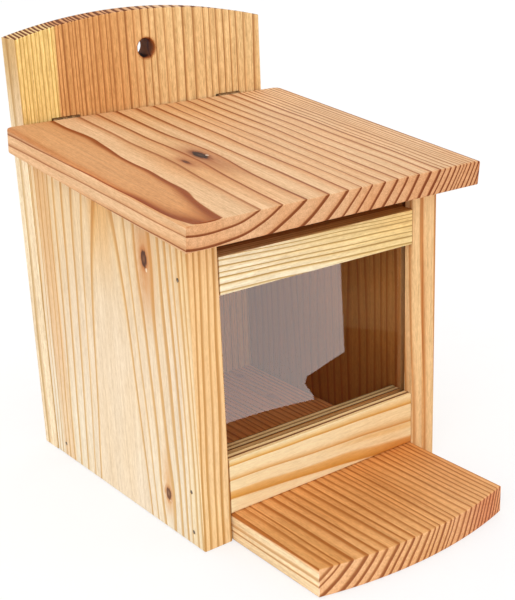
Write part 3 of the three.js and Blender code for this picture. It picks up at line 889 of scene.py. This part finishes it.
# %% Pane
finish = Finish("clear_pane")
slant = finish.add("ShaderNodeFresnel", sockets={"IOR": 1.5})
behind = finish.add("ShaderNodeNewGeometry", out="Backfacing")
dust = noise(finish.add("ShaderNodeTexCoord", out="Object"), 60.0, 4.0)
both_faces = 1.9
factor = slant * both_faces * (1.0 - behind)
see_through = finish.add("ShaderNodeBsdfTransparent", sockets={"Color": (0.97, 0.985, 0.98, 1.0)})
mirror = finish.add("ShaderNodeBsdfGlossy", sockets={"Color": (1, 1, 1, 1), "Roughness": 0.01 + dust * 0.02})
dress(finish.surface(finish.add("ShaderNodeMixShader", sockets={0: factor, 1: see_through, 2: mirror})),
      "window_pane")

# %% [markdown]
# ## The white ground
# The box stands on a plain white ground. A white board alone would look grey beside the paper white of the
# photograph, so for the camera it also glows a little. It lies just under the box, and isn't mirrored.

# %% Ground
def level_sheet(name, corners, height):
    """A flat sheet that lies level. Its corners and its height are in metres."""
    mesh = bpy.data.meshes.new(name)
    mesh.from_pydata([(x, y, height) for x, y in corners], [], [tuple(range(len(corners)))])
    sheet = bpy.data.objects.new(name, mesh)
    bpy.context.scene.collection.objects.link(sheet)
    return sheet


def rectangle(left, front, right, rear):
    return [(left, front), (right, front), (right, rear), (left, rear)]


ground_half = 3.0
ground_height = -0.0003
ground = level_sheet("ground", rectangle(-ground_half, -ground_half, ground_half, ground_half), ground_height)
finish = Finish("white_ground")
speck = noise(finish.add("ShaderNodeTexCoord", out="Object"), 40.0)
pale = 0.86 + speck * 0.04
matt = finish.add("ShaderNodeBsdfDiffuse", sockets={
    "Color": finish.add("ShaderNodeCombineColor", sockets={0: pale, 1: pale, 2: pale})})
glow = finish.add("ShaderNodeEmission", sockets={"Color": (1, 1, 1, 1), "Strength": 1.1})
seen = finish.add("ShaderNodeLightPath", out="Is Camera Ray") * 0.6
white = finish.surface(finish.add("ShaderNodeMixShader", sockets={0: seen, 1: matt, 2: glow}))
ground.data.materials.append(white)
ground.visible_glossy = False
print("ground:", 2 * ground_half, "m wide")

# %% [markdown]
# ## What the pane mirrors
# In the pane the camera sees a sheet of white paper that lies in front of the box, cut off by the platform
# below and by its own ragged edge at the right. Beyond the edge the room is dark, with a strip that is less
# dark a little way off. So a sheet of paper and a dark ground lie in front of the box, for mirrors only.

# %% Mirrored paper
paper_outline = [(91, -112), (100, -133), (110, -143), (163, -162), (170, -171), (306, -337), (700, -830),
                 (-300, -900), (-300, -60), (60, -60)]
paper = level_sheet("mirrored_paper", [(x / 1000, (y - FRONT_EDGE) / 1000) for x, y in paper_outline], 0.0)
finish = Finish("mirrored_paper")
paper_white = {"Color": (1.0, 0.93, 0.885, 1.0), "Strength": 2.45}
paper.data.materials.append(finish.surface(finish.add("ShaderNodeEmission", sockets=paper_white)))
print("mirrored paper:", len(paper_outline), "corners")

# %% Mirrored dark room
room_left = -0.3
room_reach = 3.0
room_rear = -0.055
room_height = -0.001
room_corners = rectangle(room_left, -room_reach, room_reach, room_rear)
dark_room = level_sheet("mirrored_dark_room", room_corners, room_height)
finish = Finish("mirrored_dark_room")
off_paper = (0.836, -0.546, 0.0)
away = dot(finish.add("ShaderNodeTexCoord", out="Object"), off_paper)
strip = smooth(away, 0.305, 0.311) * smooth(away, 0.36, 0.45, 1.0, 0.35)
dim = mix(finish, strip, (0.11, 0.065, 0.025, 1.0), (0.36, 0.24, 0.11, 1.0))
dark_room.data.materials.append(finish.surface(finish.add("ShaderNodeEmission", sockets={"Color": dim})))
for mirrored in (paper, dark_room):
    mirrored.visible_camera = False
    mirrored.visible_diffuse = False
    mirrored.visible_shadow = False
    mirrored.visible_transmission = False
print("for mirrors only:", paper.name, "and", dark_room.name)

# %% [markdown]
# ## Light
# The photograph has soft light from everywhere, a little more of it from the front left. A bright white
# world gives the soft light, and one large round lamp the rest. Several small lamps would draw shadows that
# the photograph doesn't have.

# %% Lamp and world
world = bpy.data.worlds.new("studio")
bpy.context.scene.world = world
world.use_nodes = True
world.node_tree.nodes["Background"].inputs["Color"].default_value = (1, 1, 1, 1)
world.node_tree.nodes["Background"].inputs["Strength"].default_value = 1.0

lamp_place = Vector((-1.3, -1.0, 1.0))
lamp_aim = Vector((0, 0, 0.12))
softbox = bpy.data.lights.new("front_left_softbox", "AREA")
softbox.shape = "DISK"
softbox.size = 1.2
softbox.energy = 5.6
lamp = bpy.data.objects.new("front_left_softbox", softbox)
lamp.location = lamp_place
lamp.rotation_euler = (lamp_aim - lamp_place).to_track_quat("-Z", "Y").to_euler()
bpy.context.scene.collection.objects.link(lamp)
bpy.context.scene.view_settings.view_transform = "Standard"
print("lamp:", lamp.name, softbox.size, "m wide,", softbox.energy, "W")
